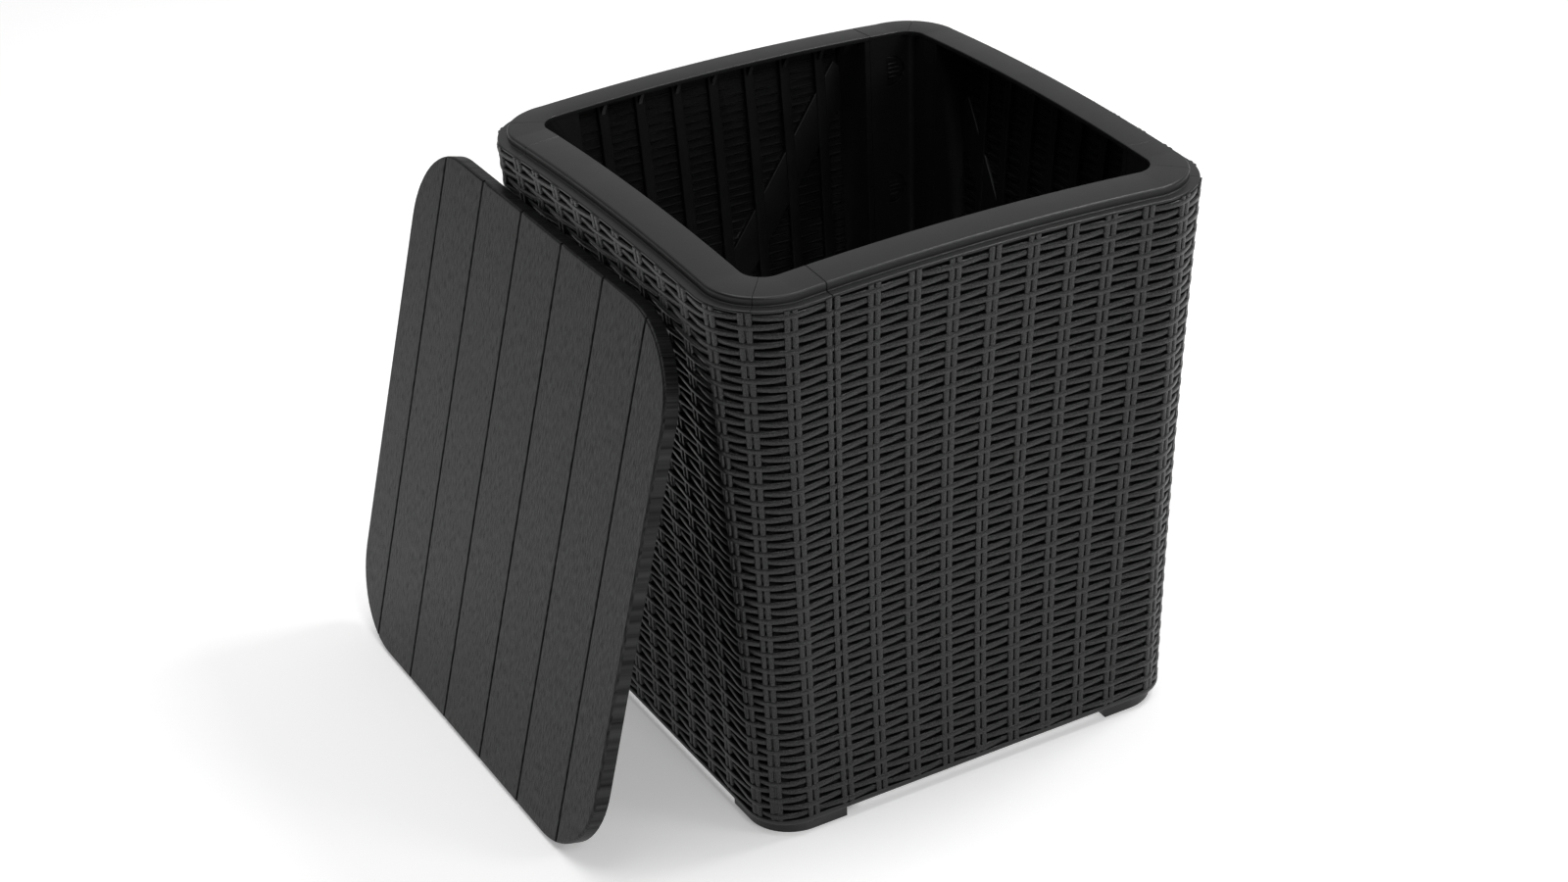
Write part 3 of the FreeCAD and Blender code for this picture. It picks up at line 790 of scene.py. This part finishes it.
def woven_shape(strands, stakes):
    """Strands and stakes wrapped round the front panel's outer face, with their UVs."""
    flat, faces = strands
    x, depth, z = flat.T
    number = np.arange(len(flat)) // (len(flat) // (ROWS * PAIRS_ROUND))
    gap = number // ROWS + SEAM_PAIR
    part = x / UNIT - gap
    place = (1 - part) * pair_line(gap, z) + part * pair_line(gap + 1, z)
    place = np.clip(place, *panel_ends(z))
    z = z + row_bend(place, z)
    shift, turn_round = STRAND_UV
    uv_strands = np.stack([place * MM + shift * number, z * MM + turn_round * depth * MM], -1)
    woven = on_panel(place, depth, z), faces

    flat, faces = stakes
    x, depth, level = flat.T
    pair = np.round(x / UNIT)
    at_seam = (pair == SEAM_PAIR) * SEAM_SHIFT - (pair == SEAM_PAIR + PAIRS_ROUND) * SEAM_SHIFT
    place = pair_line(pair, level) + x - pair * UNIT + at_seam
    lift = arch(side_place(place, wall_half(level) - CORNER))
    z = level + lift * (level - STAKE_FOOT) / (STAKE_TOP - STAKE_FOOT)
    start, end = STAKE_PROUD_RUN
    proud = np.clip((level - STAKE_TOP + start) / (start - end), 0.0, 1.0) * STAKE_PROUD
    depth = depth - proud * (depth < STAKE_BACK - NEAR)
    # Streaks run up the stakes, so their UVs lie the other way round
    uv_stakes = np.stack([z * MM + STAKE_UV * pair, place * MM], -1)
    standing = on_panel(place, depth, z), faces
    points, faces = gather([woven, standing])
    return points, faces, np.concatenate([uv_strands, uv_stakes])


def lid_point(x, y, t):
    """Point of the leaning lid from its place across, up and out of its underside."""
    x, y, t = np.broadcast_arrays(x, y, t)
    return np.stack([LID_FOOT + y * math.sin(LEAN) - t * math.cos(LEAN), LID_SIDE - x,
                     y * math.cos(LEAN) + t * math.sin(LEAN)], -1)


def lid_place(points):
    """The reverse: places across, up and out of the underside of points of the leaning lid."""
    x, y, z = (points - np.array((LID_FOOT, LID_SIDE, 0.0))).T
    return -y, x * math.sin(LEAN) + z * math.cos(LEAN), z * math.sin(LEAN) - x * math.cos(LEAN)


def plank_end(start, end, flat, bend):
    """Places across one end of a plank. Round the lid's corner they are evenly spread on the
    arc, so that a steep end gets as many points as a flat one."""
    if start >= -flat and end <= flat:
        return np.linspace(start, end, PLANK_POINTS)
    if end <= flat:
        return -plank_end(-end, -start, flat, bend)[::-1]
    low, high = [math.asin(min(1.0, max(0.0, abs(v) - flat) / bend)) for v in (start, end)]
    before = [start] if start < flat else []
    angles = np.linspace(low, high, PLANK_POINTS - len(before))
    return np.concatenate([before, flat + bend * np.sin(angles)])


def plank_shape(number):
    """One plank's top, with a rounded outer edge and crisp sides at the grooves."""
    half = LID_SIZE / 2
    flat = half - LID_CORNER
    left = (number - PLANKS / 2) * PLANK + GROOVE_HALF
    right = left + PLANK - 2 * GROOVE_HALF
    levels = [(LID_THICK - GROOVE_DEEP - 0.1, EDGE_INSET)]
    for a in np.radians((0, 22.5, 45, 67.5, 90)):
        levels.append((LID_THICK - EDGE_ROUND * (1 - math.sin(a)),
                       EDGE_INSET + EDGE_ROUND * (1 - math.cos(a))))
    loops = []
    for t, inset in levels:
        bend = LID_CORNER - inset
        start = max(left + inset * GROOVE_CHAMFER, inset - half)
        end = min(right - inset * GROOVE_CHAMFER, half - inset)
        xs = plank_end(start, end, flat, bend)
        over = np.maximum(np.abs(xs) - flat, 0.0)
        ys = flat + np.sqrt(np.maximum(bend ** 2 - over ** 2, 0.0))
        loop_x = np.concatenate([xs, xs[::-1]])
        loop_y = np.concatenate([ys, -ys[::-1]])
        loops.append(lid_point(loop_x, loop_y + half, t))
    return swept(np.array(loops))


def lid_piece(material):
    """The planked lid: own planks over the solid's edge band, underside and ribs."""
    work, points = merged_points("lid")
    faces = [tuple(v.index for v in face.verts) for face in work.faces]
    work.free()
    across, up, t = lid_place(points)
    base = lid_point(across, up, np.minimum(t, LID_THICK - GROOVE_DEEP)), faces
    planks = [plank_shape(i) for i in range(PLANKS)]
    points, faces = gather([base] + planks)
    counts = [len(part[0]) for part in [base] + planks]
    own = GRAIN_UV * np.repeat(np.arange(PLANKS + 1), counts)
    uv = np.stack([points[:, 1] * MM, lid_place(points)[1] * MM + own], -1)
    piece = new_object("planked_lid", points, faces, uv=uv)
    finish(piece, material, "lid", SOLID_SHARP)
    weighted(piece)
    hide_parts("lid")


def build():
    """All pieces: four for each panel, and the lid."""
    resin, cane, plank = moulded_resin(), woven_resin(), brushed_plank()
    strand_sizes = {"Rows": ROWS, "Gaps": PAIRS_ROUND, "First pair": float(SEAM_PAIR),
                    "Unit": UNIT, "Top row": ROW_TOP, "Row step": ROW_STEP,
                    "Row growth": ROW_GROWTH, "Tall": STRAND_TALL, "Crown": STRAND_CROWN,
                    "Dip": STRAND_DIP, "Thick": STRAND_THICK}
    strands = baked("strands", strand_tree(strand_sizes, cane), strand_sizes)
    stake_sizes = {"Stakes": 2 * PAIRS_ROUND, "First pair": float(SEAM_PAIR), "Unit": UNIT,
                   "Wide": STAKE_WIDE, "Groove": STAKE_GROOVE, "Depth": STAKE_DEPTH,
                   "Round": STAKE_ROUND, "Back": STAKE_BACK, "Foot": STAKE_FOOT,
                   "Top": STAKE_TOP}
    stakes = baked("stakes", stake_tree(stake_sizes, cane), stake_sizes)
    *weave, weave_uv = woven_shape(strands, stakes)
    inner_pairs = range(SEAM_PAIR + 1, STEP_PAIR)
    rim = gather([rim_shape(), rail_shape()] + [gusset_shape(pair) for pair in inner_pairs])
    lattice = gather([bar_shape(pair) for pair in inner_pairs]
                     + [brace_shape(*ends) for ends in BRACE_ENDS]
                     + grip_shapes() + ridge_shapes())
    for quarters, node in enumerate(PANELS):
        panel_body(node + "_body", node, quarters, resin)
        finish(new_object(node + "_weave", *weave, quarters, weave_uv),
               cane, "box", WEAVE_SHARP)
        for label, shape in (("_rim", rim), ("_lattice", lattice)):
            finish(new_object(node + label, *shape, quarters),
                   resin, "box", DETAIL_SHARP)
    lid_piece(plank)


def set_camera():
    """Camera at the photograph's viewing angle."""
    data = bpy.data.cameras.new("camera")
    data.sensor_width = SENSOR
    data.lens = FOCAL / PICTURE_WIDE * SENSOR
    data.shift_x, data.shift_y = SHIFT
    data.clip_end = 50.0
    camera = bpy.data.objects.new("camera", data)
    turned = Matrix((Vector(RIGHT), -Vector(DOWN), -Vector(AHEAD))).transposed().to_4x4()
    camera.matrix_world = Matrix.Translation(CAMERA_PLACE) @ turned
    bpy.context.scene.collection.objects.link(camera)
    bpy.context.scene.camera = camera


def soft_light(name, place, size, power):
    """Square area light."""
    data = bpy.data.lights.new(name, "AREA")
    data.size = size
    data.energy = power
    lamp = bpy.data.objects.new(name, data)
    lamp.location = place
    way = Vector(LIGHT_AIM) - Vector(place)
    lamp.rotation_euler = way.to_track_quat("-Z", "Y").to_euler()
    bpy.context.scene.collection.objects.link(lamp)


def seen_rays(tree):
    """Socket that is 1 for rays from the camera, also through gloss and glass."""
    paths = add(tree, "ShaderNodeLightPath").outputs
    through = maths(tree, "ADD", paths["Is Glossy Ray"], paths["Is Transmission Ray"])
    return maths(tree, "MINIMUM", maths(tree, "ADD", paths["Is Camera Ray"], through), 1.0)


def set_stage():
    """Pale floor, the room's light and the lamps."""
    corners = [(-1, -1), (1, -1), (1, 1), (-1, 1)]
    floor = new_object("floor", [(x * FLOOR_REACH, y * FLOOR_REACH, 0) for x, y in corners],
                       [(0, 1, 2, 3)])
    material, tree, surface = new_material("matt white paper")
    seen = seen_rays(tree)
    plug(tree, surface, {"Base Color": ranged(tree, seen, *FLOOR_TONES),
                         "Emission Color": [1.0, 1.0, 1.0, 1.0],
                         "Emission Strength": maths(tree, "MULTIPLY", seen, FLOOR_GLOW),
                         "Roughness": 0.9, "Specular IOR Level": 0.0})
    floor.data.materials.append(material)
    world = bpy.data.worlds.new("studio")
    bpy.context.scene.world = world
    world.use_nodes = True
    tree = world.node_tree
    tree.nodes.clear()
    way = add(tree, "ShaderNodeTexCoord").outputs["Generated"]
    split = add(tree, "ShaderNodeSeparateXYZ", links={0: way})
    room = ranged(tree, split.outputs[0], *ROOM, -0.9, 0.3)
    back = add(tree, "ShaderNodeBackground", {"Color": (1.0, 1.0, 1.0, 1.0)}, {"Strength": room})
    add(tree, "ShaderNodeOutputWorld", links={"Surface": back.outputs[0]})
    for name, settings in LIGHTS.items():
        soft_light(name, *settings)
    bpy.context.scene.view_settings.view_transform = "Standard"


build()
set_camera()
set_stage()
